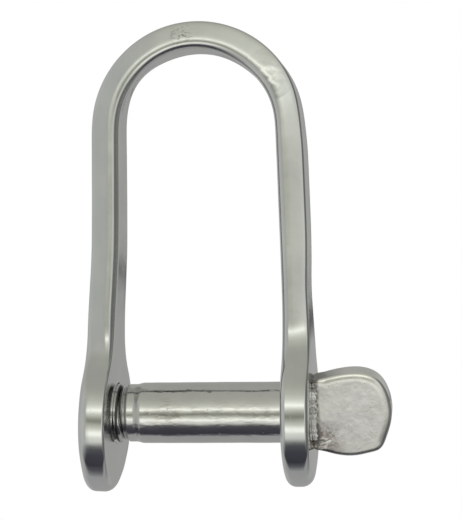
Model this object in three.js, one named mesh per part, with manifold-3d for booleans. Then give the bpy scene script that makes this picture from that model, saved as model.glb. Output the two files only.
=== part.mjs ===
// Dee shackle: a bow bent from flat strip, closed by a screw pin with a flat thumb tab.
// Millimetres, +Z up. The origin is on the pin's axis, midway between the two ears.
// +X runs along the pin, from the threaded ear to the thumb tab.
import * as THREE from 'three';
import { mergeVertices } from 'three/addons/utils/BufferGeometryUtils.js';
import Module from 'manifold-3d';

const wasm = await Module();
wasm.setup();

// Bow: strip on edge, bent to a U. The plain ear stands square to the pin and the
// threaded ear leans out a little, as it was bent.
const STRIP_THICKNESS = 2.7;
const LEG_WIDTH = 6.2;
const CROWN_INNER_RADIUS = 7.68;
const CROWN_CENTRE_Z = 28.02;
const CROWN_CENTRE_X = 0.25;
const EAR_INSIDE_X = 8.4;
const EAR_RADIUS = 7.0;
const EAR_FILLET_RADIUS = 6;
const THREADED_LEG_BEND_Z = 16.3;
const THREADED_EAR_LEAN_DEG = 2.3;
const PLAIN_LEG_BEND_Z = 10.6;
const THREADED_EAR_CENTRE_Z = -0.85;
const PLAIN_EAR_CENTRE_Z = -0.3;
const EAR_HOLE_RADIUS = 3.2;

// Pin: plain shank, shoulder, land, relief groove and an M6 x 1 thread at the far end
const SHANK_RADIUS = 3.0;
const LAND_RADIUS = 2.85;
const RELIEF_RADIUS = 2.6;
const THREAD_CREST_RADIUS = 2.93;
const THREAD_ROOT_RADIUS = 2.43;
const THREAD_PITCH = 1.0;
const THREAD_CREST_SHARE = 0.2;
const THREAD_ROOT_SHARE = 0.2;
const THREAD_START_TURN = 0.4;
const PIN_TIP_X = -11.7;
const TIP_CHAMFER = 0.6;
const THREAD_END_X = -7.4;
const RELIEF_END_X = -7.1;
const LAND_START_X = -7.0;
const LAND_END_X = -6.45;
const SHANK_START_X = -5.6;
const PIN_END_X = 11.1;
const PIN_SIDES = 32;
const RINGS_PER_PITCH = 8;

// Thumb tab: a flat plate in line with the pin, turned a little about its axis
const TAB_ROOT_X = 11.4;
const TAB_LENGTH = 7.4;
const TAB_THICKNESS = 2.5;
const TAB_EDGE_ROUND = 0.45;
const TAB_TURN_DEG = 17;
const TAB_ROOT_TOP = 3.5;
const TAB_ROOT_BOTTOM = -3.4;
const TAB_TOP = 4.4;
const TAB_BOTTOM = -4.17;

const CUT_MARGIN = 2;
const CURVE_SEGMENTS = 24;

const steel = (color, roughness) => new THREE.MeshStandardMaterial({ color, roughness, metalness: 1 });

function toManifold(geometry) {
  geometry.deleteAttribute('normal');
  geometry.deleteAttribute('uv');
  const welded = mergeVertices(geometry);
  return new wasm.Manifold(new wasm.Mesh({
    numProp: 3,
    vertProperties: new Float32Array(welded.attributes.position.array),
    triVerts: new Uint32Array(welded.index.array),
  }));
}

function toGeometry(solid) {
  const mesh = solid.getMesh();
  const geometry = new THREE.BufferGeometry();
  geometry.setAttribute('position', new THREE.BufferAttribute(new Float32Array(mesh.vertProperties), 3));
  geometry.setIndex(new THREE.BufferAttribute(new Uint32Array(mesh.triVerts), 1));
  geometry.computeVertexNormals();
  return geometry;
}

// A straight stretch of strip, as the signed x of its inner and outer faces at a height.
// The threaded leg's lower stretch leans, so its faces are further apart along x.
const leanSlope = Math.tan(THREE.MathUtils.degToRad(THREADED_EAR_LEAN_DEG));
const leanedThickness = STRIP_THICKNESS / Math.cos(THREE.MathUtils.degToRad(THREADED_EAR_LEAN_DEG));
const threadedInsideX = (z) => -EAR_INSIDE_X + z * leanSlope;
const threadedOutsideX = (z) => threadedInsideX(z) - leanedThickness;

// The angle on a crown circle where a line from (fromX, fromZ) touches it.
// side is -1 for the threaded leg and +1 for the plain leg.
function tangentAngle(side, radius, fromX, fromZ) {
  const dx = fromX - CROWN_CENTRE_X;
  const dz = fromZ - CROWN_CENTRE_Z;
  const angle = Math.atan2(dz, dx) + side * Math.acos(radius / Math.hypot(dx, dz));
  return side < 0 ? angle + 2 * Math.PI : angle;
}

// The bow seen from the front: x across, y up
function bowFrontOutline() {
  const outerRadius = CROWN_INNER_RADIUS + STRIP_THICKNESS;
  const outsideX = EAR_INSIDE_X + STRIP_THICKNESS;
  const bottom = THREADED_EAR_CENTRE_Z - EAR_RADIUS - CUT_MARGIN;
  const [threadedBend, plainBend] = [THREADED_LEG_BEND_Z, PLAIN_LEG_BEND_Z];
  const outline = new THREE.Shape();
  outline.moveTo(outsideX, bottom);
  outline.lineTo(outsideX, plainBend);
  outline.absarc(CROWN_CENTRE_X, CROWN_CENTRE_Z, outerRadius,
    tangentAngle(1, outerRadius, outsideX, plainBend),
    tangentAngle(-1, outerRadius, threadedOutsideX(threadedBend), threadedBend), false);
  outline.lineTo(threadedOutsideX(threadedBend), threadedBend);
  outline.lineTo(threadedOutsideX(bottom), bottom);
  outline.lineTo(threadedInsideX(bottom), bottom);
  outline.lineTo(threadedInsideX(threadedBend), threadedBend);
  outline.absarc(CROWN_CENTRE_X, CROWN_CENTRE_Z, CROWN_INNER_RADIUS,
    tangentAngle(-1, CROWN_INNER_RADIUS, threadedInsideX(threadedBend), threadedBend),
    tangentAngle(1, CROWN_INNER_RADIUS, EAR_INSIDE_X, plainBend), true);
  outline.lineTo(EAR_INSIDE_X, plainBend);
  outline.lineTo(EAR_INSIDE_X, bottom);
  return outline;
}

// One leg seen from the side: x is depth, y is up. A round ear runs into the
// narrower leg through a fillet on each edge.
function legSideOutline(earCentreZ) {
  const halfLeg = LEG_WIDTH / 2;
  const filletX = halfLeg + EAR_FILLET_RADIUS;
  const reach = EAR_RADIUS + EAR_FILLET_RADIUS;
  const filletZ = earCentreZ + Math.sqrt(reach ** 2 - filletX ** 2);
  const meetAngle = Math.atan2(filletZ - earCentreZ, filletX);
  const top = CROWN_CENTRE_Z + CROWN_INNER_RADIUS + STRIP_THICKNESS + CUT_MARGIN;
  const outline = new THREE.Shape();
  outline.moveTo(halfLeg, top);
  outline.lineTo(-halfLeg, top);
  outline.lineTo(-halfLeg, filletZ);
  outline.absarc(-filletX, filletZ, EAR_FILLET_RADIUS, 0, -meetAngle, true);
  outline.absarc(0, earCentreZ, EAR_RADIUS, Math.PI - meetAngle, 2 * Math.PI + meetAngle, false);
  outline.absarc(filletX, filletZ, EAR_FILLET_RADIUS, Math.PI + meetAngle, Math.PI, true);
  return outline;
}

function legSideSolid(earCentreZ, fromX, toX) {
  const geometry = new THREE.ExtrudeGeometry(legSideOutline(earCentreZ), {
    depth: toX - fromX, bevelEnabled: false, curveSegments: CURVE_SEGMENTS,
  });
  // shape x, shape y, depth become world y, z, x
  geometry.applyMatrix4(new THREE.Matrix4().makeBasis(
    new THREE.Vector3(0, 1, 0), new THREE.Vector3(0, 0, 1), new THREE.Vector3(1, 0, 0)));
  geometry.translate(fromX, 0, 0);
  return toManifold(geometry);
}

function makeBow() {
  const reachX = -threadedOutsideX(THREADED_EAR_CENTRE_Z - EAR_RADIUS) + CUT_MARGIN;
  const slab = new THREE.ExtrudeGeometry(bowFrontOutline(), {
    depth: 2 * (EAR_RADIUS + CUT_MARGIN), bevelEnabled: false, curveSegments: 2 * CURVE_SEGMENTS,
  });
  slab.rotateX(Math.PI / 2);
  slab.translate(0, EAR_RADIUS + CUT_MARGIN, 0);
  const threadedSide = legSideSolid(THREADED_EAR_CENTRE_Z, -reachX, 1);
  const plainSide = legSideSolid(PLAIN_EAR_CENTRE_Z, -1, reachX);
  const hole = new THREE.CylinderGeometry(EAR_HOLE_RADIUS, EAR_HOLE_RADIUS, 2 * reachX, PIN_SIDES);
  hole.rotateZ(Math.PI / 2);
  const bow = toManifold(slab).intersect(threadedSide.add(plainSide)).subtract(toManifold(hole));
  return new THREE.Mesh(toGeometry(bow), steel(0xb4b6b4, 0.2));
}

// How far the thread's flank stands between its root (0) and its crest (1)
function threadProfile(turnShare) {
  const fromCrest = Math.abs(turnShare - Math.round(turnShare)) * 2;
  const flank = 1 - THREAD_CREST_SHARE - THREAD_ROOT_SHARE;
  return THREE.MathUtils.clamp((1 - THREAD_ROOT_SHARE - fromCrest) / flank, 0, 1);
}

function threadRadiusAt(x, angle) {
  const height = threadProfile((x - THREAD_END_X) / THREAD_PITCH - angle / (2 * Math.PI) - THREAD_START_TURN);
  const threaded = THREE.MathUtils.lerp(THREAD_ROOT_RADIUS, THREAD_CREST_RADIUS, height);
  const chamfered = THREAD_CREST_RADIUS - TIP_CHAMFER + (x - PIN_TIP_X);
  return Math.min(threaded, chamfered);
}

// Stations along the pin, each with its radius as a function of the angle
function pinStations() {
  const count = Math.round((RINGS_PER_PITCH * (THREAD_END_X - PIN_TIP_X)) / THREAD_PITCH);
  const threaded = Array.from({ length: count + 1 }, (_, i) => {
    const x = THREE.MathUtils.lerp(PIN_TIP_X, THREAD_END_X, i / count);
    return { x, radius: (angle) => threadRadiusAt(x, angle) };
  });
  const turned = [
    [THREAD_END_X + 0.05, RELIEF_RADIUS],
    [RELIEF_END_X, RELIEF_RADIUS],
    [LAND_START_X, LAND_RADIUS],
    [LAND_END_X, LAND_RADIUS],
    [SHANK_START_X, SHANK_RADIUS],
    [PIN_END_X, SHANK_RADIUS],
  ];
  return threaded.concat(turned.map(([x, radius]) => ({ x, radius: () => radius })));
}

// The pin is a closed skin of rings along X, with a centre point on each end
function makePin() {
  const stations = pinStations();
  const positions = [];
  const faces = [];
  for (const station of stations) {
    for (let side = 0; side < PIN_SIDES; side += 1) {
      const angle = (2 * Math.PI * side) / PIN_SIDES;
      const radius = station.radius(angle);
      positions.push(station.x, radius * Math.cos(angle), radius * Math.sin(angle));
    }
  }
  const tipCentre = positions.length / 3;
  positions.push(PIN_TIP_X, 0, 0, PIN_END_X, 0, 0);
  const lastRing = (stations.length - 1) * PIN_SIDES;
  for (let side = 0; side < PIN_SIDES; side += 1) {
    const next = (side + 1) % PIN_SIDES;
    for (let ring = 0; ring < lastRing; ring += PIN_SIDES) {
      const [a, b] = [ring + side, ring + next];
      const [c, d] = [b + PIN_SIDES, a + PIN_SIDES];
      faces.push(a, b, c, a, c, d);
    }
    faces.push(tipCentre, next, side);
    faces.push(tipCentre + 1, lastRing + side, lastRing + next);
  }
  const geometry = new THREE.BufferGeometry();
  geometry.setAttribute('position', new THREE.Float32BufferAttribute(positions, 3));
  geometry.setIndex(faces);
  geometry.computeVertexNormals();
  return new THREE.Mesh(geometry, steel(0xb0b2b0, 0.18));
}

// The tab's outline from its root (x = 0) outwards: it flares from the pin to a
// crowned top with a large corner, and has a tighter lower corner
function tabOutline() {
  const outline = new THREE.Shape();
  outline.moveTo(0, TAB_ROOT_BOTTOM);
  outline.bezierCurveTo(0.9, -3.7, 1.9, TAB_BOTTOM, 3.2, TAB_BOTTOM);
  outline.bezierCurveTo(4.1, TAB_BOTTOM, 4.7, -3.95, 5.5, -3.76);
  outline.bezierCurveTo(6.05, -3.63, 6.45, -3.35, 6.7, -2.65);
  outline.bezierCurveTo(7.0, -1.8, TAB_LENGTH, -0.75, TAB_LENGTH, 0.2);
  outline.bezierCurveTo(TAB_LENGTH, 1.4, 7.0, 2.7, 6.4, 3.4);
  outline.bezierCurveTo(5.8, 4.1, 4.9, TAB_TOP, 3.9, TAB_TOP);
  outline.bezierCurveTo(2.5, TAB_TOP, 0.9, 3.95, 0, TAB_ROOT_TOP);
  return outline;
}

function makeTab() {
  const geometry = new THREE.ExtrudeGeometry(tabOutline(), {
    depth: TAB_THICKNESS - 2 * TAB_EDGE_ROUND,
    bevelThickness: TAB_EDGE_ROUND,
    bevelSize: TAB_EDGE_ROUND,
    bevelOffset: -TAB_EDGE_ROUND,
    bevelSegments: 2,
    curveSegments: 6,
  });
  geometry.translate(TAB_ROOT_X, 0, TAB_EDGE_ROUND - TAB_THICKNESS / 2);
  geometry.rotateX(Math.PI / 2);
  const tab = new THREE.Mesh(toGeometry(toManifold(geometry)), steel(0xc4c5c3, 0.42));
  tab.rotation.x = THREE.MathUtils.degToRad(TAB_TURN_DEG);
  return tab;
}

function named(mesh, name) {
  mesh.name = name;
  return mesh;
}

const group = new THREE.Group();
group.add(named(makeBow(), 'bow'));
group.add(named(makePin(), 'screw_pin'));
group.add(named(makeTab(), 'thumb_tab'));

export default group;
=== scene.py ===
"""Dee shackle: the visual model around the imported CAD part.

Lengths in this file are millimetres, in the CAD's own frame (origin on the pin's axis, midway
between the ears, +X along the pin to the thumb tab, +Z to the crown). They become metres when a
mesh is made.
"""
import math

import bmesh
import bpy
import numpy as np
from mathutils import Matrix, Vector, noise


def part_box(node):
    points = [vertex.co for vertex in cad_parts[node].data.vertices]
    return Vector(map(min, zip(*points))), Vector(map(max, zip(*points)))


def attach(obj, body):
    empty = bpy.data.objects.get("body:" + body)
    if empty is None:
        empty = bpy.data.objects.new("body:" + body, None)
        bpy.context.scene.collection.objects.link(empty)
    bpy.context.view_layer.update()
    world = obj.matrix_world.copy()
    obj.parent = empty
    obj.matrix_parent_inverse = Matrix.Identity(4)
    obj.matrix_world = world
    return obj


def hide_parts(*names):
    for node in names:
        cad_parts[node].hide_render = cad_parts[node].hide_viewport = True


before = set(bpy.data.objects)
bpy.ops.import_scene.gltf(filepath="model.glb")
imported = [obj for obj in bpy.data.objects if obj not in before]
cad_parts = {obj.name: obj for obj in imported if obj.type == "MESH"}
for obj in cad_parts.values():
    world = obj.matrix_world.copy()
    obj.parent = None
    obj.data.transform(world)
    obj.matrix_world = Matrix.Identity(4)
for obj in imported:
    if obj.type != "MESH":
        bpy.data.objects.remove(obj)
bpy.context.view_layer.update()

MM = 0.001
TAU = 2 * math.pi
WELD_DISTANCE = 0.0002
NOISE_SEED = 1

# Without a seed Blender's vector noise starts from the clock, and each run differs a little.
noise.seed_set(NOISE_SEED)


def node_box(node):
    """A CAD node's lowest and highest corners, in millimetres."""
    low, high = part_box(node)
    return np.array(low) / MM, np.array(high) / MM


BOW_LOW, BOW_HIGH = node_box("bow")
PIN_LOW, PIN_HIGH = node_box("screw_pin")
TAB_LOW, TAB_HIGH = node_box("thumb_tab")

# Bow. In a table of two, -1 is the threaded side and 1 the plain side.
STRIP_THICKNESS = 2.7
LEG_HALF_WIDTH = 3.0
NECK_HALF_WIDTH = 3.3
NECK_TAPER_LENGTH = 12.0
TAPER_POWER = 1.6
OUTLINE_STEP = 0.2
OUTLINE_SOFTNESS = 0.45
EAR_RADIUS = 7.0
FILLET_RADIUS = 6.0
EAR_INSIDE_X = BOW_HIGH[0] - STRIP_THICKNESS
THREADED_EAR_SET_IN = 0.13
THREADED_INSIDE_X = THREADED_EAR_SET_IN - EAR_INSIDE_X
THREADED_LOBE_Z = BOW_LOW[2] + EAR_RADIUS
PLAIN_LOBE_Z = -0.3
CROWN_INNER_RADIUS = 7.68
CROWN_CENTRE_X = 0.25
CROWN_CENTRE_Z = BOW_HIGH[2] - STRIP_THICKNESS - CROWN_INNER_RADIUS
LEAN = math.radians(2.6)
THREADED_BEND_Z = 16.3
PLAIN_BEND_Z = 10.6
BEND_SOFTNESS = 0.9
HOLE_RADIUS = 3.2
HOLE_EDGE_RADIUS = 0.2
THREAD_MOUTH_DEPTH = 0.03
POLISH_WOBBLE = 0.012
# rings of an ear's flat face, as shares of the way from the hole to the outline
FACE_RINGS = (0, 0.06, 0.16, 0.3, 0.46, 0.63, 0.8, 0.92, 1.0)
# how far the widest point of an ear stands above the middle of its round, and where that fades
LOBE_LIFT = {-1: 0.5, 1: 0.32}
LIFT_FADES_ABOVE = (0, 9)
LIFT_FADES_BELOW = (4.5, 7.2)
# rounding of an ear's edge at its inner and its outer face, on its sides and at its bottom
EAR_ROUNDING = {-1: (0.32, 0.95), 1: (0.6, 0.4)}
TOE_ROUNDING = {-1: (1.0, 0.9), 1: (1.0, 1.2)}
# how directly the edge faces down where the bottom's rounding starts and where it is whole
TOE_STARTS, TOE_WHOLE = 0.5, 0.95
# from the ear's middle towards the leg: where its edge starts to change, and where it is a leg's
EAR_TO_LEG = (2.0, 12.0)
# the threaded side's shoulder is thinner on its inner side, from just behind its front edge
SHOULDER_THINNING = 0.5
SHOULDER_FROM_CROWN = 6.8
SHOULDER_REACH = 3.3
SHOULDER_STARTS_Y, SHOULDER_WHOLE_Y = -2.5, 1.5
# where the plain leg is thinner on its outer side: mm from the crown's top, mm thinner, reach
PLAIN_LEG_THINNING = ((11.2, 0.15, 2.2), (28.4, 0.21, 3.6))
# where it is thicker on its inner side, beside the crown
CROWN_THICKENING = (4.8, 0.19, 3.4)
# how much wider the back edge's roll-over is than the front one's, on the legs and at the crown
LEG_WEAR = 1.6
CROWN_WEAR = 2.3
CROWN_WEAR_REACH = 11.0
THREADED_LEG_BOW = 0.11
THREADED_LEG_BOW_Z = 8.5
THREADED_LEG_BOW_REACH = 6.0
CROWN_SCUFF = (-1.1, -3.1, 36.9)
WORN_PATCH = (7.6, -3.1, 33.0)

# Pin
SHANK_RADIUS = PIN_HIGH[2]
LAND_RADIUS = 2.85
RELIEF_RADIUS = 2.6
CREST_RADIUS = 2.93
ROOT_RADIUS = 2.43
PITCH = 1.0
RINGS_PER_PITCH = 40
THREAD_PHASE = 0.4
GROOVE_HALF_WIDTH = 0.14
THREAD_END_X = -7.5
TIP_CHAMFER = 0.6
LAND_START_X = -6.9
LAND_END_X = -6.45
SHANK_START_X = -5.6
SHANK_STEP = 0.2
PIN_END_RADIUS = 0.22
NUT_CLEARANCE = 0.07
# the shank's ripples, and how far it is drawn under size to leave room for them
RIPPLE = 0.014
FINE_RIPPLE = 0.003
RIPPLE_ROOM = 0.008
RIPPLE_STARTS_X, RIPPLE_WHOLE_X = -7.0, -5.5
PIN_STAIN = (-3.0, -2.95, -0.1)
# painted shade on the pin at the threaded ear's hole mouth: where it starts, is darkest, thins and
# ends
MOUTH_SHADE_X = (-8.18, -8.11, -7.90, -7.84)

# Thumb tab
TAB_THICKNESS = 2.5
TAB_BEVEL_RADIUS = 1.3
TAB_BEVEL_DEG = 30
TAB_CORNER_RADIUS = 0.3
TAB_TURN = math.radians(17)
TAB_ROOT_X = TAB_LOW[0]
TAB_ROOT_OVERLAP = 0.295
PIN_INTO_TAB = 0.05
TAB_TOP = 4.4
TAB_BOTTOM = -4.17
TAB_MIDDLE = (3.5, 0.1)
# share of the rounding that is left at the root, and how much less the bottom edge has
ROOT_ROUNDING = 0.1
BOTTOM_FLATTER = 0.45
COLLAR_HALF_HEIGHT = 3.46
COLLAR_RAISED = 0.05
# power of the sine that squares the collar's outline: 1 is an ellipse, 0 a rectangle
COLLAR_SQUARENESS = 0.333


# ---------------------------------------------------------------- mesh helpers

def add_object(name, vertices, faces, material):
    """Makes a smooth-shaded mesh object from millimetre vertices, with double points welded."""
    mesh = bpy.data.meshes.new(name)
    mesh.from_pydata([tuple(float(c) * MM for c in v) for v in vertices], [], faces)
    build = bmesh.new()
    build.from_mesh(mesh)
    bmesh.ops.remove_doubles(build, verts=build.verts, dist=WELD_DISTANCE * MM)
    bmesh.ops.recalc_face_normals(build, faces=build.faces)
    for face in build.faces:
        face.smooth = True
    build.to_mesh(mesh)
    build.free()
    mesh.materials.append(material)
    obj = bpy.data.objects.new(name, mesh)
    bpy.context.scene.collection.objects.link(obj)
    return obj


class Patchwork:
    """Collects grids of points as quads; matching edges are welded afterwards."""

    def __init__(self):
        self.vertices = []
        self.faces = []

    def grid(self, rows, closed=False):
        """rows: equal-length loops of points. closed joins each row's end to its start."""
        start = len(self.vertices)
        width = len(rows[0])
        for row in rows:
            self.vertices.extend(row)
        span = width if closed else width - 1
        for r in range(len(rows) - 1):
            for c in range(span):
                a = start + r * width + c
                b = start + r * width + (c + 1) % width
                self.faces.append((a, b, b + width, a + width))

    def fan(self, loop, centre):
        """Triangles from a loop of points to its centre."""
        start = len(self.vertices)
        self.vertices.extend(loop)
        self.vertices.append(centre)
        hub = start + len(loop)
        for c in range(len(loop)):
            self.faces.append((start + c, start + (c + 1) % len(loop), hub))


def smoothstep(low, high, value):
    """0 up to low and 1 from high on, with a smooth rise between them."""
    t = np.clip((value - low) / (high - low), 0, 1)
    return t * t * (3 - 2 * t)


def bell(value, centre, reach):
    """1 at the centre, fading smoothly to almost 0 at twice the reach."""
    return math.exp(-((value - centre) / reach) ** 2)


def fbm(point, scale, octaves=3):
    """Fractal noise in about -1..1 at a point in millimetres, with features of the given size."""
    return noise.fractal(Vector(point) / scale, 0.7, 2.0, octaves)


# ---------------------------------------------------------------- bow

def inner_line():
    """The strip's inner face seen from the front: a fine line from the threaded ear's bottom over
    the crown to the plain ear's bottom, as arc length, x, z and the outward normal."""
    step, spread, overrun = 0.05, 60, 3
    threaded_bend_x = THREADED_INSIDE_X + THREADED_BEND_Z * math.tan(LEAN)

    def leg_slope(x, z, side):
        """Where round the crown a leg from this bend touches it, and the straight leg's length."""
        dx, dz = x - CROWN_CENTRE_X, z - CROWN_CENTRE_Z
        reach = math.hypot(dx, dz)
        touch = math.atan2(dz, dx) + side * math.acos(CROWN_INNER_RADIUS / reach)
        return touch, math.sqrt(reach ** 2 - CROWN_INNER_RADIUS ** 2)

    touch_left, left_run = leg_slope(threaded_bend_x, THREADED_BEND_Z, -1)
    touch_right, right_run = leg_slope(EAR_INSIDE_X, PLAIN_BEND_Z, 1)
    touch_left += TAU
    left_tail = (THREADED_BEND_Z - THREADED_LOBE_Z + EAR_RADIUS + overrun) / math.cos(LEAN)
    right_tail = PLAIN_BEND_Z - PLAIN_LOBE_Z + EAR_RADIUS + overrun
    # heading of travel, measured from +X, on each stretch away from the crown's top
    top = math.pi / 2
    right = [((top - touch_right) * CROWN_INNER_RADIUS, None), (right_run, touch_right - top),
             (right_tail, -top)]
    left = [((touch_left - top) * CROWN_INNER_RADIUS, None), (left_run, touch_left + top),
            (left_tail, -top - LEAN)]

    def march(stretches, turn):
        """The heading at each step along the stretches. A stretch without one goes round."""
        headings = []
        for length, heading in stretches:
            count = int(round(length / step))
            if heading is None:
                start = 0.0 if turn < 0 else math.pi
                turned = (np.arange(count) + 0.5) * step / CROWN_INNER_RADIUS
                headings.extend(start + turn * turned)
            else:
                wrapped = heading if turn < 0 else heading % TAU
                headings.extend([wrapped] * count)
        return np.array(headings)

    ahead = march(right, -1)
    behind = march(left, 1) - math.pi
    headings = np.concatenate([behind[::-1], ahead])
    kernel = np.exp(-0.5 * (np.arange(-spread, spread + 1) * step / BEND_SOFTNESS) ** 2)
    padded = np.pad(headings, spread, mode="edge")
    headings = np.convolve(padded, kernel / kernel.sum(), mode="valid")
    x = np.concatenate([[0], np.cumsum(np.cos(headings) * step)])
    z = np.concatenate([[0], np.cumsum(np.sin(headings) * step)])
    crown = len(behind)
    x += CROWN_CENTRE_X - x[crown]
    z += CROWN_CENTRE_Z + CROWN_INNER_RADIUS - z[crown]
    heading_at = np.concatenate([headings[:1], headings])
    normal_x, normal_z = -np.sin(heading_at), np.cos(heading_at)
    return np.arange(len(x)) * step, x, z, normal_x, normal_z


LINE_S, LINE_X, LINE_Z, LINE_NX, LINE_NZ = inner_line()
LINE_CROWN = int(np.argmax(LINE_Z))


def line_s_at(z, side):
    """Arc length where the inner line passes a height, on the threaded (-1) or plain (+1) side."""
    if side < 0:
        return float(np.interp(z, LINE_Z[:LINE_CROWN], LINE_S[:LINE_CROWN]))
    return float(np.interp(z, LINE_Z[:LINE_CROWN:-1], LINE_S[:LINE_CROWN:-1]))


def bend(s, y, h):
    """A point of the flat blank, at s along, y across and h up from the inner face, once bent. The
    strip is a little thinner where it was drawn round a shoulder or a bend."""
    from_crown = s - LINE_S[LINE_CROWN]
    outward = h / STRIP_THICKNESS
    behind = float(smoothstep(SHOULDER_STARTS_Y, SHOULDER_WHOLE_Y, y))
    shoulder = bell(from_crown, -SHOULDER_FROM_CROWN, SHOULDER_REACH)
    h = h + SHOULDER_THINNING * shoulder * behind * (1 - outward)
    centre, amount, reach = CROWN_THICKENING
    h -= amount * bell(from_crown, centre, reach) * (1 - outward)
    for centre, amount, reach in PLAIN_LEG_THINNING:
        h -= amount * bell(from_crown, centre, reach) * outward
    x = np.interp(s, LINE_S, LINE_X) + h * np.interp(s, LINE_S, LINE_NX)
    z = np.interp(s, LINE_S, LINE_Z) + h * np.interp(s, LINE_S, LINE_NZ)
    if from_crown < 0:
        x -= THREADED_LEG_BOW * bell(z, THREADED_LEG_BOW_Z, THREADED_LEG_BOW_REACH)
    return float(x), float(y), float(z)


def half_outline(s_threaded, s_plain):
    """One edge of the flat blank, from the threaded lobe's end to the plain lobe's end: evenly
    spaced points with outward normals, 1 on the ears fading to 0 on the legs, and the number of
    points on each lobe."""
    fillet_y = NECK_HALF_WIDTH + FILLET_RADIUS
    fillet_run = math.sqrt((EAR_RADIUS + FILLET_RADIUS) ** 2 - fillet_y ** 2)
    meet = math.atan2(fillet_y, fillet_run)
    lobe = [(EAR_RADIUS * math.cos(a), EAR_RADIUS * math.sin(a))
            for a in np.linspace(math.pi, meet, 80)]
    lobe += [(fillet_run - FILLET_RADIUS * math.cos(a), fillet_y - FILLET_RADIUS * math.sin(a))
             for a in np.linspace(meet, math.pi / 2, 30)[1:]]
    lobe += [(fillet_run + NECK_TAPER_LENGTH * t,
              LEG_HALF_WIDTH + (NECK_HALF_WIDTH - LEG_HALF_WIDTH) * (1 - t) ** TAPER_POWER)
             for t in np.linspace(0, 1, 30)[1:]]

    def lifted(s, side):
        """The widest point of the ear stands a little above the middle of its round."""
        fade = smoothstep(*LIFT_FADES_ABOVE, s) if s > 0 else smoothstep(*LIFT_FADES_BELOW, -s)
        return s + LOBE_LIFT[side] * (1 - fade)

    left = [(s_threaded + lifted(s, -1), y) for s, y in lobe]
    right = [(s_plain - lifted(s, 1), y) for s, y in lobe[::-1]]
    corners = np.array(left + right)
    run = np.concatenate([[0], np.cumsum(np.linalg.norm(np.diff(corners, axis=0), axis=1))])
    even = np.linspace(0, run[-1], int(run[-1] / OUTLINE_STEP))
    path = np.stack([np.interp(even, run, corners[:, 0]), np.interp(even, run, corners[:, 1])], 1)
    # a hand-ground outline has no sudden change of curvature
    pad, spread = 12, 8
    mirror = np.array([1, -1])
    path = np.concatenate([path[pad:0:-1] * mirror, path, path[-2:-pad - 2:-1] * mirror])
    path[:pad, 0] = path[pad + 1:2 * pad + 1, 0][::-1]
    kernel = np.exp(-0.5 * (np.arange(-spread, spread + 1) * OUTLINE_STEP / OUTLINE_SOFTNESS) ** 2)
    kernel /= kernel.sum()
    path = np.stack([np.convolve(path[:, c], kernel, mode="valid") for c in (0, 1)], 1)
    tangent = np.gradient(path, axis=0)
    trim = pad - spread
    path, tangent = path[trim:-trim], tangent[trim:-trim]
    normal = np.stack([-tangent[:, 1], tangent[:, 0]], 1)
    normal /= np.linalg.norm(normal, axis=1)[:, None]
    reach = np.minimum(path[:, 0] - s_threaded, s_plain - path[:, 0])
    neck = int(np.argmax(reach > fillet_run))
    return np.concatenate([path, normal], 1), 1 - smoothstep(*EAR_TO_LEG, reach), neck


# Edge sections from the inner face's flat (h = 0) to the outer face's flat: how far in from the
# blank's outline, and how far up. A leg's edge rolls over from the inner face to a ridge and slopes
# back from there to its outer corner. An ear's edge is flat between two rounded corners.
FACE_INSET = 2.3
FACE_STEP = 0.02
CORNER_RADIUS = 0.3
CORNER_INSET = 0.324
CORNER_TILT_DEG = 16
ROLL_POINTS = 12


def arc(inset, h, radius, start, end, count):
    """Points round a convex corner, where start and end are the surface's tilt in degrees from
    the rim's own direction: -90 lies on the inner face, 0 on the rim, 90 on the outer face."""
    angles = np.radians(np.linspace(start, end, count))
    first = math.radians(start)
    return [(inset - radius * (math.cos(a) - math.cos(first)),
             h + radius * (math.sin(a) - math.sin(first))) for a in angles]


def leg_section():
    """A leg's edge. The first ROLL_POINTS points are its flat and its roll-over."""
    roll = [(FACE_INSET, 0.0), (1.5, 0.0), (0.86, 0.0), (0.688, 0.015), (0.553, 0.04), (0.437, 0.08),
            (0.331, 0.14), (0.234, 0.22), (0.16, 0.30), (0.115, 0.36), (0.076, 0.43), (0.038, 0.53)]
    ridge = [(0.015, 0.63), (0.0035, 0.73), (0.0, 0.83), (0.0026, 0.93), (0.011, 1.03), (0.028, 1.15)]
    slope = [(0.057, 1.30), (0.121, 1.6), (0.186, 1.9), (0.254, 2.2)]
    corner_h = STRIP_THICKNESS - CORNER_RADIUS * (1 - math.sin(math.radians(CORNER_TILT_DEG)))
    corner = arc(CORNER_INSET, corner_h, CORNER_RADIUS, CORNER_TILT_DEG, 90, 8)
    return roll + ridge + slope + corner + [(FACE_INSET, STRIP_THICKNESS)]


def ear_section(inner_round, outer_round):
    """An ear's edge, with as many points as a leg's."""
    inner = [(FACE_INSET, 0.0), (1.5, 0.0)] + arc(inner_round, 0.0, inner_round, -90, 0, 17)
    middle = [(0.0, h) for h in np.linspace(inner_round, STRIP_THICKNESS - outer_round, 5)[1:4]]
    outer = arc(0.0, STRIP_THICKNESS - outer_round, outer_round, 0, 90, 8)
    return inner + middle + outer + [(FACE_INSET, STRIP_THICKNESS)]


def thread_radius(x, angle):
    """A rounded groove that winds round the crest diameter once per pitch."""
    turn = (x - THREAD_END_X) / PITCH - angle / TAU - THREAD_PHASE
    from_root = abs(turn - round(turn)) * PITCH
    depth = CREST_RADIUS - ROOT_RADIUS
    return CREST_RADIUS - depth * math.exp(-(from_root / GROOVE_HALF_WIDTH) ** 2)


def polish_wobble(point):
    """Hand polishing leaves flat faces very slightly wavy."""
    place = Vector(point)
    waves = noise.noise_vector(place / 4.5) + 0.35 * noise.noise_vector(place / 1.6)
    return place + POLISH_WOBBLE * waves


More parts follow.
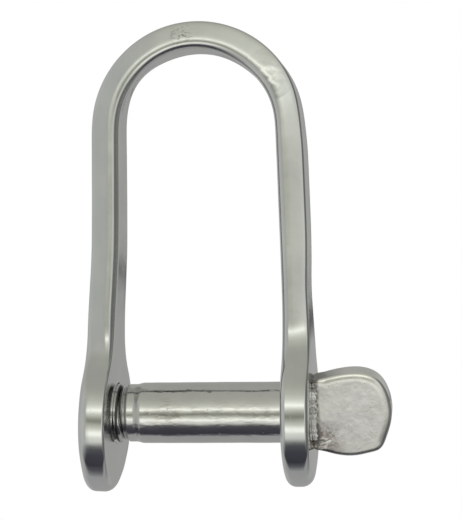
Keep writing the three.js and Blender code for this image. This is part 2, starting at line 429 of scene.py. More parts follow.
def make_bow(material):
    # lobe centres and hole centres along the blank
    s_lobe = {-1: line_s_at(THREADED_LOBE_Z, -1), 1: line_s_at(PLAIN_LOBE_Z, 1)}
    edge, earness, neck = half_outline(s_lobe[-1], s_lobe[1])
    leg = np.array(leg_section())
    ears = {end: np.array(ear_section(*rounding)) for end, rounding in EAR_ROUNDING.items()}
    toes = {end: np.array(ear_section(*rounding)) for end, rounding in TOE_ROUNDING.items()}
    work = Patchwork()
    stations = len(edge)

    def rim_loop(k, side):
        """The edge section at station k, on the +y (side 1) or -y (side -1) edge."""
        s, y, normal_s, normal_y = edge[k]
        ear_share = earness[k]
        end = -1 if k < stations / 2 else 1
        toe = float(smoothstep(TOE_STARTS, TOE_WHOLE, end * normal_s))
        strip = leg.copy()
        if side > 0:
            at_crown = bell(s, LINE_S[LINE_CROWN], CROWN_WEAR_REACH)
            worn = strip[1:ROLL_POINTS, 0] * (LEG_WEAR + (CROWN_WEAR - LEG_WEAR) * at_crown)
            strip[1:ROLL_POINTS, 0] = np.minimum(worn, FACE_INSET - FACE_STEP)
        ear = ears[end] * (1 - toe) + toes[end] * toe
        section = ear * ear_share + strip * (1 - ear_share)
        return [(s - normal_s * inset, side * (y - normal_y * inset), h) for inset, h in section]

    rims = {side: [rim_loop(k, side) for k in range(stations)] for side in (1, -1)}
    for side in (1, -1):
        work.grid(rims[side])

    across = np.linspace(-1, 1, 15)
    for layer, h in ((0, 0.0), (-1, STRIP_THICKNESS)):
        rows = []
        for k in range(neck, stations - neck):
            s, y, _ = rims[1][k][layer]
            rows.append([(s, y * a, h) for a in across])
        work.grid(rows)

    for side in (-1, 1):
        first = 0 if side < 0 else stations - 1
        last = neck if side < 0 else stations - 1 - neck
        step = 1 if side < 0 else -1
        indices = list(range(first, last + step, step))
        hole = hole_rings(side, s_lobe[side], rims, indices, across)
        for layer in (0, -1):
            boundary = lobe_boundary(rims, indices, layer, across)
            ring = hole[layer]
            rows = []
            for f in FACE_RINGS:
                rows.append([tuple(np.array(a) * (1 - f) + np.array(b) * f)
                             for a, b in zip(ring, boundary)])
            work.grid(rows, closed=True)
        work.grid(hole, closed=True)

    vertices = [polish_wobble(bend(*v)) for v in work.vertices]
    return add_object("bow_strip", vertices, work.faces, material)


def lobe_boundary(rims, indices, layer, across):
    """The flat face's outline round one lobe, closed across the neck."""
    up = [rims[1][k][layer] for k in indices]
    down = [rims[-1][k][layer] for k in indices][::-1]
    s, y, h = up[-1]
    over = [(s, y * a, h) for a in across[::-1][1:-1]]
    return up + over + down[:-1]


def hole_rings(side, s_lobe, rims, indices, across):
    """Rings of the ear's hole from the inner to the outer face, in blank coordinates."""
    outline = lobe_boundary(rims, indices, 0, across)
    lobe_z = THREADED_LOBE_Z if side < 0 else PLAIN_LOBE_Z
    climb = 1 if side < 0 else -1
    lean = LEAN if side < 0 else 0.0
    s_hole = s_lobe - climb * lobe_z / math.cos(lean)
    angles = [math.atan2(y, (s - s_hole) * climb) for s, y, _ in outline]
    thick = STRIP_THICKNESS
    if side < 0:
        depths = np.concatenate([[0.0], np.linspace(0.06, thick - 0.06, 58), [thick]])
    else:
        depths = [0.0, 0.02, 0.06, 0.12, 0.2, 0.5, 1.0, 1.5, 2.0, 2.3, 2.38, 2.44, 2.48, thick]
    rings = []
    for h in depths:
        from_face = min(h, thick - h)
        ring = []
        for a in angles:
            radius = HOLE_RADIUS
            if side < 0:
                x = THREADED_INSIDE_X - h
                world = math.atan2(math.cos(a), math.sin(a))
                radius = thread_radius(x, world) + NUT_CLEARANCE
                mouth = CREST_RADIUS + NUT_CLEARANCE + THREAD_MOUTH_DEPTH - from_face
                radius = max(radius, mouth)
            else:
                short = 1 - min(from_face, HOLE_EDGE_RADIUS) / HOLE_EDGE_RADIUS
                radius += HOLE_EDGE_RADIUS * (1 - math.sqrt(1 - short ** 2))
            centre = s_hole - climb * h * math.tan(lean)
            ring.append((centre + climb * radius * math.cos(a), radius * math.sin(a), h))
        rings.append(ring)
    return rings


# ---------------------------------------------------------------- pin

def pin_profile():
    """Stations along the pin: x, radius, and how much of the thread shows."""
    tip, end = PIN_LOW[0], PIN_HIGH[0] + PIN_INTO_TAB
    count = int((THREAD_END_X - tip) / PITCH * RINGS_PER_PITCH)
    stations = [(x, None) for x in np.linspace(tip, THREAD_END_X, count)]
    relief = [(0.03, 0.05), (0.06, 0.01), (0.10, 0.0), (0.28, 0.0), (0.31, 0.02), (0.35, 0.10),
              (0.39, 0.19), (0.42, 0.24), (0.46, 0.25)]
    stations += [(THREAD_END_X + along, RELIEF_RADIUS + rise) for along, rise in relief]
    stations += [(x, LAND_RADIUS) for x in np.linspace(LAND_START_X, LAND_END_X, 5)]
    for f in np.linspace(0, 1, 14)[1:]:
        x = LAND_END_X + (SHANK_START_X - LAND_END_X) * f
        stations.append((x, LAND_RADIUS + (SHANK_RADIUS - LAND_RADIUS) * smoothstep(0, 1, f)))
    shank = np.arange(SHANK_START_X + SHANK_STEP, end - 0.35, SHANK_STEP)
    stations += [(x, SHANK_RADIUS) for x in shank]
    for a in np.linspace(0, math.pi / 2, 6):
        x = end - PIN_END_RADIUS + PIN_END_RADIUS * math.sin(a)
        stations.append((x, SHANK_RADIUS - PIN_END_RADIUS * (1 - math.cos(a))))
    return stations


def make_pin(material):
    sides = 200
    work = Patchwork()
    rows = []
    for x, turned in pin_profile():
        row = []
        for k in range(sides):
            a = TAU * k / sides
            y, z = math.cos(a), math.sin(a)
            if turned is None:
                chamfered = CREST_RADIUS - TIP_CHAMFER + (x - PIN_LOW[0])
                radius = min(thread_radius(x, a), chamfered)
            else:
                wave = RIPPLE * fbm((x * 0.7, 3 * y, 3 * z), 1.8, 2)
                wave += FINE_RIPPLE * fbm((x, 3 * y, 3 * z), 0.6, 2)
                on_shank = float(smoothstep(RIPPLE_STARTS_X, RIPPLE_WHOLE_X, x))
                radius = turned - RIPPLE_ROOM + wave * on_shank
            row.append((x, radius * y, radius * z))
        rows.append(row)
    work.grid(rows, closed=True)
    for row in (rows[0], rows[-1]):
        x = row[0][0]
        rings = [[(x, y * f, z * f) for _, y, z in row] for f in (1.0, 0.85, 0.6, 0.3)]
        work.grid(rings, closed=True)
        work.fan(rings[-1], (x, 0.0, 0.0))
    return add_object("pin_turned", work.vertices, work.faces, material)


# ---------------------------------------------------------------- thumb tab

def bezier(a, b, c, d, count):
    t = np.linspace(0, 1, count, endpoint=False)[:, None]
    a, b, c, d = (np.array(p, dtype=float) for p in (a, b, c, d))
    return a * (1 - t) ** 3 + 3 * b * t * (1 - t) ** 2 + 3 * c * t ** 2 * (1 - t) + d * t ** 3


def tab_outline():
    """The tab's outline, from the middle of its root round counter-clockwise."""
    length, root = TAB_HIGH[0] - TAB_ROOT_X, -TAB_ROOT_OVERLAP
    corners = [
        [(root, -3.38), (0.9, -3.7), (1.9, TAB_BOTTOM), (3.2, TAB_BOTTOM)],
        [(3.2, TAB_BOTTOM), (4.1, TAB_BOTTOM), (4.7, -3.95), (5.5, -3.76)],
        [(5.5, -3.76), (6.05, -3.63), (6.45, -3.35), (6.7, -2.65)],
        [(6.7, -2.65), (7.0, -1.8), (length, -0.75), (length, 0.2)],
        [(length, 0.2), (length, 1.4), (7.0, 2.7), (6.4, 3.4)],
        [(6.4, 3.4), (5.8, 4.1), (4.9, TAB_TOP), (3.9, TAB_TOP)],
        [(3.9, TAB_TOP), (2.5, TAB_TOP), (0.9, 3.93), (root, 3.48)],
        [(root, 3.48), (root, 1.2), (root, -1.2), (root, -3.38)],
    ]
    counts = (34, 24, 16, 30, 30, 28, 38, 36)
    dense = np.concatenate([bezier(*c, n) for c, n in zip(corners, counts)])
    smooth = dense.copy()
    for _ in range(3):
        smooth = 0.25 * np.roll(smooth, 1, 0) + 0.5 * smooth + 0.25 * np.roll(smooth, -1, 0)
    tangent = np.roll(smooth, -1, 0) - np.roll(smooth, 1, 0)
    normal = np.stack([tangent[:, 1], -tangent[:, 0]], 1)
    return smooth, normal / np.linalg.norm(normal, axis=1)[:, None]


def make_tab(material):
    outline, normal = tab_outline()
    half = TAB_THICKNESS / 2
    work = Patchwork()
    bend_angle = math.radians(TAB_BEVEL_DEG)
    start = TAB_BEVEL_RADIUS * math.sin(bend_angle)
    start += TAB_CORNER_RADIUS * (1 - math.sin(bend_angle))
    rim = [(start - TAB_BEVEL_RADIUS * math.sin(a), TAB_BEVEL_RADIUS * (1 - math.cos(a)))
           for a in np.linspace(0, bend_angle, 10)]
    drop = TAB_BEVEL_RADIUS * (1 - math.cos(bend_angle))
    rim += [(TAB_CORNER_RADIUS * (1 - math.sin(a)),
             drop + TAB_CORNER_RADIUS * (math.cos(bend_angle) - math.cos(a)))
            for a in np.linspace(bend_angle, math.pi / 2, 8)[1:]]
    front = [(inset, down - half) for inset, down in rim]
    rim = front + [(inset, -depth) for inset, depth in front[::-1]]
    rows = []
    for inset, w in rim:
        row = []
        for p, n in zip(outline, normal):
            away = ROOT_ROUNDING + (1 - ROOT_ROUNDING) * float(smoothstep(-0.05, 1.0, p[0]))
            away *= 1 - BOTTOM_FLATTER * float(smoothstep(0.3, 0.9, -n[1]))
            depth = math.copysign(half - (half - abs(w)) * away, w)
            row.append((p[0] - n[0] * inset * away, depth, p[1] - n[1] * inset * away))
        rows.append(row)
    work.grid(rows, closed=True)
    centre = TAB_MIDDLE
    for row, sign in ((rows[0], -1), (rows[-1], 1)):
        rings = []
        for f in np.linspace(1, 0.04, 46):
            ring = []
            for x, w, z in row:
                px, pz = centre[0] + (x - centre[0]) * f, centre[1] + (z - centre[1]) * f
                ring.append((px, tab_face(px, pz, sign, f) if f < 1 else w, pz))
            rings.append(ring)
        work.grid(rings, closed=True)
        work.fan(rings[-1], (centre[0], tab_face(*centre, sign, 0.0), centre[1]))
    cos_t, sin_t = math.cos(TAB_TURN), math.sin(TAB_TURN)
    vertices = [(TAB_ROOT_X + x, y * cos_t - z * sin_t, z * cos_t + y * sin_t)
                for x, y, z in work.vertices]
    return add_object("tab_plate", vertices, work.faces, material)


def tab_face(x, z, sign, f):
    """Depth of the tab's face: a soft dome with the dents and pits of a stamped plate."""
    edge = float(smoothstep(0, 0.12, 1 - f))
    lumps = 0.014 * fbm((x, z, 7.0 * sign), 2.2, 2) + 0.004 * fbm((x, z, 3.0 * sign), 0.5, 2)
    heat = float(smoothstep(2.6, 0.3, x) * smoothstep(0.6, -2.2, z)) if sign < 0 else 0.0
    pits = heat * 0.05 * max(0.0, fbm((x, z, 1.0), 0.33, 3))
    return sign * (TAB_THICKNESS / 2 + edge * (lumps - pits))


def make_collar(material):
    """The fused bead round the tab's root, with its uneven far edge. Its section is how far along
    the pin's axis and how far out of the tab's surface. The points deep inside the tab stay even."""
    sides = 220
    start = TAB_ROOT_X - TAB_ROOT_OVERLAP
    section = [(0.0, -0.5), (0.0, 0.02), (0.004, 0.031), (0.015, 0.035), (0.12, 0.037),
               (0.22, 0.03), (0.32, 0.015), (0.42, -0.01), (0.50, -0.05), (0.4, -0.5)]
    cos_t, sin_t = math.cos(TAB_TURN), math.sin(TAB_TURN)
    rows = []
    for k in range(sides):
        a = TAU * k / sides
        c, w = math.cos(a), math.sin(a)
        ny, nz = c ** 5, w ** 5
        size = math.hypot(ny, nz)
        y0 = math.copysign(abs(c) ** COLLAR_SQUARENESS, c) * TAB_THICKNESS / 2
        z0 = math.copysign(abs(w) ** COLLAR_SQUARENESS, w) * COLLAR_HALF_HEIGHT + COLLAR_RAISED
        row = []
        for along, out in section:
            x = start + along
            if out > -0.4:
                x += 0.12 * fbm((0.0, 3 * y0, 3 * z0), 0.9, 4) * float(smoothstep(0.0, 0.2, along))
                out += 0.03 * fbm((0.0, 3 * y0, 3 * z0), 0.8, 3)
            y, z = y0 + out * ny / size, z0 + out * nz / size
            row.append((x, y * cos_t - z * sin_t, z * cos_t + y * sin_t))
        row.append(row[0])
        rows.append(row)
    rows.append(rows[0])
    work = Patchwork()
    work.grid(rows)
    return add_object("tab_collar", work.vertices, work.faces, material)


# ---------------------------------------------------------------- materials

class Nodes:
    """Short hand for building a material's node tree."""

    def __init__(self, name):
        self.material = bpy.data.materials.new(name)
        self.material.use_nodes = True
        self.tree = self.material.node_tree
        self.shader = self.tree.nodes["Principled BSDF"]
        coordinates = self.tree.nodes.new("ShaderNodeTexCoord")
        self.coordinates = coordinates.outputs["Object"]

    def link(self, source, target):
        self.tree.links.new(source, target)

    def mapping(self, size):
        """Object coordinates where one texture unit is the given size in millimetres, the same
        on every axis or one for each."""
        sizes = size if isinstance(size, tuple) else (size,) * 3
        node = self.tree.nodes.new("ShaderNodeMapping")
        node.inputs["Scale"].default_value = tuple(1 / (s * MM) for s in sizes)
        self.link(self.coordinates, node.inputs["Vector"])
        return node.outputs["Vector"]

    def noise(self, size, detail=4.0, roughness=0.55, distortion=0.0):
        node = self.tree.nodes.new("ShaderNodeTexNoise")
        node.inputs["Scale"].default_value = 1.0
        node.inputs["Detail"].default_value = detail
        node.inputs["Roughness"].default_value = roughness
        node.inputs["Distortion"].default_value = distortion
        self.link(self.mapping(size), node.inputs["Vector"])
        return node.outputs["Fac"]

    def cells(self, size):
        node = self.tree.nodes.new("ShaderNodeTexVoronoi")
        node.inputs["Scale"].default_value = 1.0
        self.link(self.mapping(size), node.inputs["Vector"])
        return node.outputs["Distance"]

    def remap(self, source, low, high, new_low, new_high):
        node = self.tree.nodes.new("ShaderNodeMapRange")
        node.inputs["From Min"].default_value = low
        node.inputs["From Max"].default_value = high
        node.inputs["To Min"].default_value = new_low
        node.inputs["To Max"].default_value = new_high
        self.link(source, node.inputs["Value"])
        return node.outputs["Result"]

    def math(self, operation, a, b=0.0):
        node = self.tree.nodes.new("ShaderNodeMath")
        node.operation = operation
        for socket, value in zip(node.inputs, (a, b)):
            if isinstance(value, (int, float)):
                socket.default_value = value
            else:
                self.link(value, socket)
        return node.outputs["Value"]

    def mix(self, factor, a, b):
        node = self.tree.nodes.new("ShaderNodeMix")
        node.data_type = "RGBA"
        self.link(factor, node.inputs["Factor"])
        for socket, value in ((node.inputs["A"], a), (node.inputs["B"], b)):
            if isinstance(value, tuple):
                socket.default_value = (*value, 1.0)
            else:
                self.link(value, socket)
        return node.outputs["Result"]

    def position(self):
        node = self.tree.nodes.new("ShaderNodeSeparateXYZ")
        self.link(self.coordinates, node.inputs["Vector"])
        return node.outputs

    def leaning_x(self):
        """Where a plane that leans as the threaded ear does crosses the pin's axis."""
        position = self.position()
        offset = self.math("MULTIPLY", position["Z"], math.tan(LEAN))
        return self.math("SUBTRACT", position["X"], offset)

    def near(self, centre, solid, reach):
        """1 within a solid distance of a point, fading to 0 at its reach, in millimetres."""
        node = self.tree.nodes.new("ShaderNodeVectorMath")
        node.operation = "DISTANCE"
        self.link(self.coordinates, node.inputs[0])
        node.inputs[1].default_value = tuple(c * MM for c in centre)
        return self.remap(node.outputs["Value"], reach * MM, solid * MM, 0.0, 1.0)

    def blend(self, share, a, b):
        """a where share is 0 and b where it is 1."""
        node = self.tree.nodes.new("ShaderNodeMix")
        self.link(share, node.inputs["Factor"])
        for socket, value in zip((node.inputs[2], node.inputs[3]), (a, b)):
            if isinstance(value, (int, float)):
                socket.default_value = value
            else:
                self.link(value, socket)
        return node.outputs[0]

    def nicks(self, spacing, size, scarce_low, scarce_high):
        """Small round dents in some patches: 0 on the plain surface, -1 at a dent's bottom."""
        dents = self.remap(self.cells(spacing), 0.0, size, -1.0, 0.0)
        patches = self.remap(self.noise(1.1, 2.0), scarce_low, scarce_high, 0.0, 1.0)
        return self.math("MULTIPLY", dents, patches)

    def bump(self, height, distance, strength=1.0, below=None):
        node = self.tree.nodes.new("ShaderNodeBump")
        node.inputs["Distance"].default_value = distance * MM
        node.inputs["Strength"].default_value = strength
        self.link(height, node.inputs["Height"])
        if below is not None:
            self.link(below, node.inputs["Normal"])
        return node.outputs["Normal"]


def bow_steel_material():
    """Stainless strip: softly finished legs and crown, mirror-bright ears."""
    look = Nodes("bow_polished_steel")
    look.shader.inputs["Metallic"].default_value = 1.0
    clouds = look.remap(look.noise((3.2, 3.2, 5.0), 3.0), 0.32, 0.68, 0.0, 1.0)
    base = look.mix(clouds, (0.665, 0.685, 0.67), (0.735, 0.75, 0.73))
    scratches = look.remap(look.noise((0.6, 0.5, 0.25), 3.0, 0.6, 0.8), 0.53, 0.60, 0.0, 0.7)
    scuff = look.math("MULTIPLY", look.near(CROWN_SCUFF, 0.4, 1.5), scratches)
    base = look.mix(scuff, base, (0.25, 0.245, 0.235))
    look.link(base, look.shader.inputs["Base Color"])

    streaks = look.remap(look.noise((0.35, 1.2, 5.0), 3.0, 0.6), 0.3, 0.7, 0.14, 0.21)
    patches = look.remap(look.noise(1.4, 5.0), 0.4, 0.75, -0.03, 0.05)
    soft = look.math("ADD", streaks, patches)
    crisp = look.remap(look.noise(1.0, 5.0), 0.45, 0.75, 0.05, 0.12)
    from_face = look.math("SUBTRACT", look.leaning_x(), THREADED_INSIDE_X * MM)
    on_face = look.remap(look.math("ABSOLUTE", from_face), 0.05 * MM, 0.10 * MM, 1.0, 0.0)
    crisp = look.blend(on_face, crisp, 0.2)
    ear = look.remap(look.position()["Z"], 10.5 * MM, 6.5 * MM, 0.0, 1.0)
    rough = look.blend(ear, soft, crisp)
    worn_area = look.near(WORN_PATCH, 0.8, 2.6)
    worn_share = look.remap(look.noise(1.3, 4.0, 0.6), 0.44, 0.52, 0.0, 1.0)
    worn = look.math("MULTIPLY", worn_area, worn_share)
    look.link(look.blend(worn, rough, 0.10), look.shader.inputs["Roughness"])

    normal = look.bump(look.noise(2.1, 2.0, 0.4), 0.012)
    normal = look.bump(look.noise(0.55, 3.0, 0.5), 0.0016, below=normal)
    normal = look.bump(look.nicks(0.5, 0.13, 0.55, 0.64), 0.008, below=normal)
    lumps = look.math("MULTIPLY", worn_area, look.noise(1.5, 1.5, 0.5))
    normal = look.bump(lumps, 0.10, below=normal)
    look.link(normal, look.shader.inputs["Normal"])
    return look.material


def pin_steel_material():
    """Turned and polished steel: a mirror with ripples and nicks, a stain, and painted shade in its
    thread's grooves and where it enters the threaded ear.
    """
    look = Nodes("pin_polished_steel")
    look.shader.inputs["Metallic"].default_value = 1.0
    clouds = look.remap(look.noise(3.0, 3.0), 0.32, 0.68, 0.0, 1.0)
    steel = look.mix(clouds, (0.675, 0.68, 0.665), (0.735, 0.735, 0.72))
    position = look.position()
    y_squared = look.math("POWER", position["Y"], 2.0)
    z_squared = look.math("POWER", position["Z"], 2.0)
    from_axis = look.math("SQRT", look.math("ADD", y_squared, z_squared))
    # painted shade: the thread's grooves darken towards near-black below the crest, and are rougher
    # there
    sunk = look.remap(from_axis, (CREST_RADIUS - 0.2) * MM, (CREST_RADIUS - 0.4) * MM, 0.0, 0.5)
    before_land = look.remap(position["X"], (THREAD_END_X + 0.45) * MM, (THREAD_END_X + 0.35) * MM,
                             0.0, 1.0)
    behind_tip = look.remap(position["X"], (PIN_LOW[0] + 0.5) * MM, (PIN_LOW[0] + 0.7) * MM,
                            0.0, 1.0)
    painted_shade = look.math("MULTIPLY", sunk, look.math("MULTIPLY", before_land, behind_tip))
    # painted shade: a near-black ring on the pin where it enters the threaded ear's hole
    starts, thick, thins, ends = (x * MM for x in MOUTH_SHADE_X)
    from_ear = look.leaning_x()
    ring = look.math("MULTIPLY", look.remap(from_ear, starts, thick, 0.0, 1.0),
                     look.remap(from_ear, ends, thins, 0.0, 1.0))
    painted_shade = look.math("MAXIMUM", painted_shade, look.math("MULTIPLY", ring, 0.93))
    spots = look.remap(look.noise((0.9, 0.22, 0.22), 3.0, 0.6), 0.47, 0.58, 0.0, 0.5)
    stained = look.math("MULTIPLY", look.near(PIN_STAIN, 0.6, 1.9), spots)
    steel = look.mix(stained, steel, (0.36, 0.33, 0.29))
    look.link(look.mix(painted_shade, steel, (0.05, 0.052, 0.055)), look.shader.inputs["Base Color"])
    rough = look.remap(look.noise(0.8, 5.0), 0.42, 0.75, 0.06, 0.13)
    look.link(look.blend(painted_shade, rough, 0.45), look.shader.inputs["Roughness"])

    normal = look.bump(look.noise((1.7, 0.9, 0.9), 2.0, 0.4), 0.007)
    chafed = look.remap(look.noise((2.2, 1.2, 1.2), 2.0), 0.46, 0.58, 0.0, 1.0)
    chafed = look.math("MULTIPLY", chafed, look.noise((0.55, 0.3, 0.3), 3.0, 0.6))
    normal = look.bump(chafed, 0.010, below=normal)
    normal = look.bump(look.nicks(0.42, 0.16, 0.48, 0.60), 0.012, below=normal)
    look.link(normal, look.shader.inputs["Normal"])
    return look.material


def tab_steel_material():
    """The tab: polished round its edge, duller and pitted on its faces, browned by its root, with
    painted shade on its edge beside the ear and in the seam by the collar.
    """
    look = Nodes("tab_satin_steel")
    look.shader.inputs["Metallic"].default_value = 1.0
    position = look.position()
    across = look.tree.nodes.new("ShaderNodeVectorMath")
    across.operation = "DOT_PRODUCT"
    across.inputs[1].default_value = (0.0, math.cos(TAB_TURN), math.sin(TAB_TURN))
    look.link(look.coordinates, across.inputs[0])
    depth = look.math("ABSOLUTE", across.outputs["Value"])
    face_depth = TAB_THICKNESS / 2
    face = look.remap(depth, (face_depth - 0.16) * MM, (face_depth - 0.03) * MM, 0.0, 1.0)

    def beyond_root(solid, reach, most):
        """The most within a solid distance of the root, fading to 0 at its reach."""
        far, close = (TAB_ROOT_X + reach) * MM, (TAB_ROOT_X + solid) * MM
        return look.remap(position["X"], far, close, 0.0, most)

    clouds = look.remap(look.noise(1.8, 5.0, 0.6), 0.35, 0.7, 0.0, 1.0)
    hue = look.remap(look.noise(2.4, 2.0), 0.4, 0.6, 0.0, 1.0)
    pale = look.mix(hue, (0.88, 0.88, 0.83), (0.87, 0.86, 0.86))
    base = look.mix(clouds, (0.78, 0.775, 0.75), pale)
    low_down = look.remap(position["Z"], -0.6 * MM, -2.0 * MM, 0.0, 1.0)
    blotch = look.remap(look.noise(0.75, 6.0, 0.65, 0.6), 0.36, 0.54, 0.0, 0.95)
    heat = look.math("MULTIPLY", look.math("MULTIPLY", beyond_root(1.0, 3.0, 1.0), low_down), blotch)
    base = look.mix(heat, base, (0.27, 0.22, 0.205))
    # dark flakes at the root: partly fused scale, partly painted shade in the seam where the collar
    # meets the tab's face
    flakes = look.remap(look.noise(0.4, 5.0, 0.7), 0.36, 0.54, 0.0, 1.0)
    seam_shade_and_flakes = look.math("MULTIPLY", beyond_root(0.2, 0.5, 1.0), flakes)
    base = look.mix(seam_shade_and_flakes, base, (0.16, 0.145, 0.135))
    # painted shade on the tab's edge next to the ear, fading away from the root
    edge = look.remap(depth, 1.0 * MM, 0.8 * MM, 0.0, 1.0)
    shoulder = look.math("MULTIPLY", beyond_root(0.6, 2.8, 0.85), edge)
    base = look.mix(shoulder, base, (0.30, 0.30, 0.285))
    pits = look.nicks(0.30, 0.15, 0.50, 0.62)
    base = look.mix(look.math("MULTIPLY", pits, -0.55), base, (0.30, 0.285, 0.27))
    look.link(base, look.shader.inputs["Base Color"])

    dull = look.remap(look.noise(0.8, 5.0), 0.3, 0.75, 0.25, 0.36)
    look.link(look.blend(face, 0.09, dull), look.shader.inputs["Roughness"])
    normal = look.bump(look.noise(0.55, 4.0, 0.55), 0.008)
    normal = look.bump(pits, 0.03, below=normal)
    look.link(normal, look.shader.inputs["Normal"])
    return look.material


def collar_steel_material():
    """Fused steel: pale and rough, with darker flakes and painted shade over its top."""
    look = Nodes("collar_fused_steel")
    look.shader.inputs["Metallic"].default_value = 1.0
    flakes = look.remap(look.noise(0.4, 6.0, 0.7), 0.36, 0.52, 0.0, 1.0)
    fused = look.mix(flakes, (0.42, 0.40, 0.38), (0.85, 0.85, 0.83))
    # painted shade over the collar's top, beside the ear
    top = look.remap(look.position()["Z"], 2.7 * MM, 3.1 * MM, 0.0, 0.85)
    look.link(look.mix(top, fused, (0.14, 0.14, 0.135)), look.shader.inputs["Base Color"])
    look.link(look.remap(flakes, 0.0, 1.0, 0.6, 0.34), look.shader.inputs["Roughness"])
    look.link(look.bump(look.noise(0.3, 5.0, 0.7), 0.03), look.shader.inputs["Normal"])
    return look.material


# ---------------------------------------------------------------- stage

def make_world():
    """Plain studio light as polished steel sees it: bright strips above and below the lens, a dark
    table edge, pale walls. One ramp goes over the top and one round the sides. The backdrop that
    the camera sees is white."""
    world = bpy.data.worlds.new("studio")
    bpy.context.scene.world = world
    world.use_nodes = True
    tree = world.node_tree
    tree.nodes.clear()
    add = tree.nodes.new

    def math_node(operation, *values):
        node = add("ShaderNodeMath")
        node.operation = operation
        for socket, value in zip(node.inputs, values):
            if isinstance(value, (int, float)):
                socket.default_value = value
            else:
                tree.links.new(value, socket)
        return node.outputs["Value"]

    def ramp(source, stops):
        """A colour for a source of 0 to 1, which stands for -180 to 180 degrees."""
        node = add("ShaderNodeValToRGB")
        elements = node.color_ramp.elements
        elements.remove(elements[1])
        for degrees, grey, tint in stops:
            element = elements.new((degrees + 180) / 360)
            element.color = tuple(studio_grey(grey, tint)) + (1.0,)
        tree.links.new(source, node.inputs["Fac"])
        return node.outputs["Color"]

    direction = add("ShaderNodeTexCoord").outputs["Generated"]
    split = add("ShaderNodeSeparateXYZ")
    tree.links.new(direction, split.inputs["Vector"])
    x, y, z = split.outputs
    pitch = math_node("ARCTAN2", z, math_node("MULTIPLY", y, -1.0))
    pitch_share = math_node("ADD", math_node("DIVIDE", pitch, TAU), 0.5)
    heading = math_node("ARCTAN2", x, math_node("MULTIPLY", y, -1.0))
    heading_share = math_node("ADD", math_node("DIVIDE", heading, TAU), 0.5)
    vertical = ramp(pitch_share, PITCH_STOPS)
    horizontal = ramp(heading_share, HEADING_STOPS)
    beside = math_node("SUBTRACT", math_node("ABSOLUTE", x), SIDE_LIGHT_FROM)
    sideways = clamp01(tree, math_node("MULTIPLY", beside, SIDE_LIGHT_GAIN))
    below_top = math_node("SUBTRACT", SIDE_LIGHT_TOP, math_node("ABSOLUTE", z))
    level = clamp01(tree, math_node("MULTIPLY", below_top, SIDE_LIGHT_TOP_GAIN))
    share = math_node("MULTIPLY", sideways, level)
    mix = add("ShaderNodeMix")
    mix.data_type = "RGBA"
    tree.links.new(share, mix.inputs["Factor"])
    tree.links.new(vertical, mix.inputs["A"])
    tree.links.new(horizontal, mix.inputs["B"])
    lit = add("ShaderNodeBackground")
    tree.links.new(mix.outputs["Result"], lit.inputs["Color"])
    lit.inputs["Strength"].default_value = LIGHT_STRENGTH
    white = add("ShaderNodeBackground")
    white.inputs["Color"].default_value = (1.0, 1.0, 1.0, 1.0)
    pick = add("ShaderNodeMixShader")
    tree.links.new(add("ShaderNodeLightPath").outputs["Is Camera Ray"], pick.inputs["Fac"])
    tree.links.new(lit.outputs["Background"], pick.inputs[1])
    tree.links.new(white.outputs["Background"], pick.inputs[2])
    tree.links.new(pick.outputs["Shader"], add("ShaderNodeOutputWorld").inputs["Surface"])


def clamp01(tree, value):
    node = tree.nodes.new("ShaderNodeClamp")
    tree.links.new(value, node.inputs["Value"])
    return node.outputs["Result"]


def studio_grey(display, tint):
    """A light colour from a display grey (0..255). tint above 0 is warm and below 0 is cool."""
    def linear(value):
        value /= 255
        return value / 12.92 if value <= 0.04045 else ((value + 0.055) / 1.055) ** 2.4
    return [linear(display + tint), linear(display + 1.2 * tint), linear(display - 4.5 * tint)]


LIGHT_STRENGTH = 1.45
# how far sideways and how far up a direction points where the sides' ramp starts and stops, and
# how fast it does
SIDE_LIGHT_FROM = 0.24
SIDE_LIGHT_GAIN = 5.0
SIDE_LIGHT_TOP = 0.85
SIDE_LIGHT_TOP_GAIN = 3.0
# degrees up from straight ahead of the front, in the plane across the pin: grey seen, tint
PITCH_STOPS = [
    (-180, 141, 0.2), (-124, 143, 0.0), (-98, 141, -0.2), (-89, 78, -0.8), (-83, 54, -1.2),
    (-62, 62, -1.2), (-52, 76, -0.6), (-47, 104, 0.0), (-39, 186, 0.6), (-31, 206, 1.2),
    (-26, 238, 1.2), (-22, 232, 1.4), (-17, 192, 1.6), (-10, 158, 1.6), (-4, 120, 1.6),
    (0, 136, 1.6), (6, 176, 1.6), (10, 206, 1.6), (14.5, 244, 1.6), (19, 216, 1.6),
    (25, 191, 1.6), (34, 172, 1.6), (48, 156, 1.4), (60, 151, 1.2), (110, 146, 0.8),
    (180, 141, 0.2),
]
# degrees round from the front towards +X, level: grey seen, tint
HEADING_STOPS = [
    (-180, 158, 0.4), (-130, 156, 0.2), (-60, 168, 0.2), (-35, 160, 0.4), (-15, 150, 1.0),
    (10, 160, 1.0), (18, 182, 0.8), (38, 184, 0.6), (46, 150, 0.4), (56, 100, 0.2),
    (118, 94, 0.2), (135, 116, 0.2), (150, 146, 0.4), (166, 164, 0.4), (180, 158, 0.4),
]

# Where the photographer stood, fitted to the shackle's outline
CAMERA_AZIMUTH = 7.689
CAMERA_ELEVATION = -1.083
CAMERA_ROLL = -0.798
CAMERA_DISTANCE = 168.2
CAMERA_TARGET = (3.17, 0.0, 14.97)
CAMERA_LENS = 117.7
SENSOR_SIZE = 36.0

# Floor, in metres
FLOOR_HALF_SIZE = 2.0
FLOOR_GAP = 0.0001


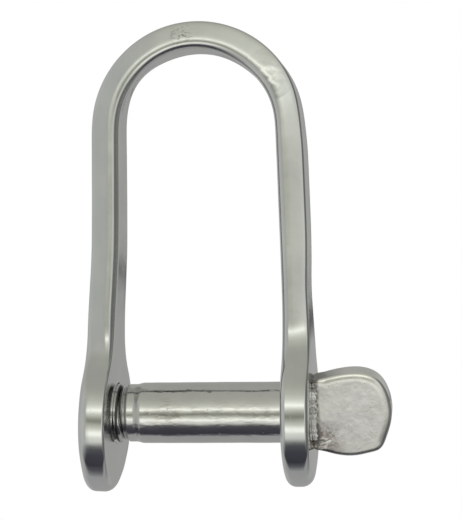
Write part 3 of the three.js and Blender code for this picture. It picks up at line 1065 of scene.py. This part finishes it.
def make_camera():
    azimuth, elevation = math.radians(CAMERA_AZIMUTH), math.radians(CAMERA_ELEVATION)
    back = Vector((math.sin(azimuth) * math.cos(elevation),
                   -math.cos(azimuth) * math.cos(elevation), math.sin(elevation)))
    right = Vector((math.cos(azimuth), math.sin(azimuth), 0.0))
    roll = Matrix.Rotation(math.radians(-CAMERA_ROLL), 3, back)
    right = (roll.inverted() @ right).normalized()
    up = back.cross(right)
    place = Vector(CAMERA_TARGET) * MM + back * CAMERA_DISTANCE * MM
    data = bpy.data.cameras.new("camera")
    data.lens = CAMERA_LENS
    data.sensor_width = SENSOR_SIZE
    data.clip_start = 0.001
    camera = bpy.data.objects.new("camera", data)
    camera.matrix_world = Matrix((
        (right.x, up.x, back.x, place.x),
        (right.y, up.y, back.y, place.y),
        (right.z, up.z, back.z, place.z),
        (0, 0, 0, 1),
    ))
    bpy.context.scene.collection.objects.link(camera)
    bpy.context.scene.camera = camera


def make_floor():
    material = bpy.data.materials.new("pale_floor")
    material.use_nodes = True
    tree = material.node_tree
    tree.nodes.clear()
    glow = tree.nodes.new("ShaderNodeEmission")
    glow.inputs["Color"].default_value = (1.0, 1.0, 1.0, 1.0)
    out = tree.nodes.new("ShaderNodeOutputMaterial")
    tree.links.new(glow.outputs["Emission"], out.inputs["Surface"])
    size = FLOOR_HALF_SIZE
    z = BOW_LOW[2] * MM - FLOOR_GAP
    corners = [(-size, -size, z), (size, -size, z), (size, size, z), (-size, size, z)]
    mesh = bpy.data.meshes.new("floor")
    mesh.from_pydata(corners, [], [(0, 1, 2, 3)])
    mesh.materials.append(material)
    floor = bpy.data.objects.new("floor", mesh)
    floor.visible_glossy = False
    floor.visible_diffuse = False
    bpy.context.scene.collection.objects.link(floor)


# ---------------------------------------------------------------- assembly

bow = make_bow(bow_steel_material())
pin = make_pin(pin_steel_material())
tab = make_tab(tab_steel_material())
collar = make_collar(collar_steel_material())

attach(bow, "shackle")
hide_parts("bow")
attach(pin, "pin")
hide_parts("screw_pin")
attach(tab, "tab")
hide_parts("thumb_tab")
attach(collar, "tab")

make_world()
make_camera()
make_floor()
bpy.context.scene.view_settings.view_transform = "Standard"
bpy.context.scene.view_settings.look = "None"
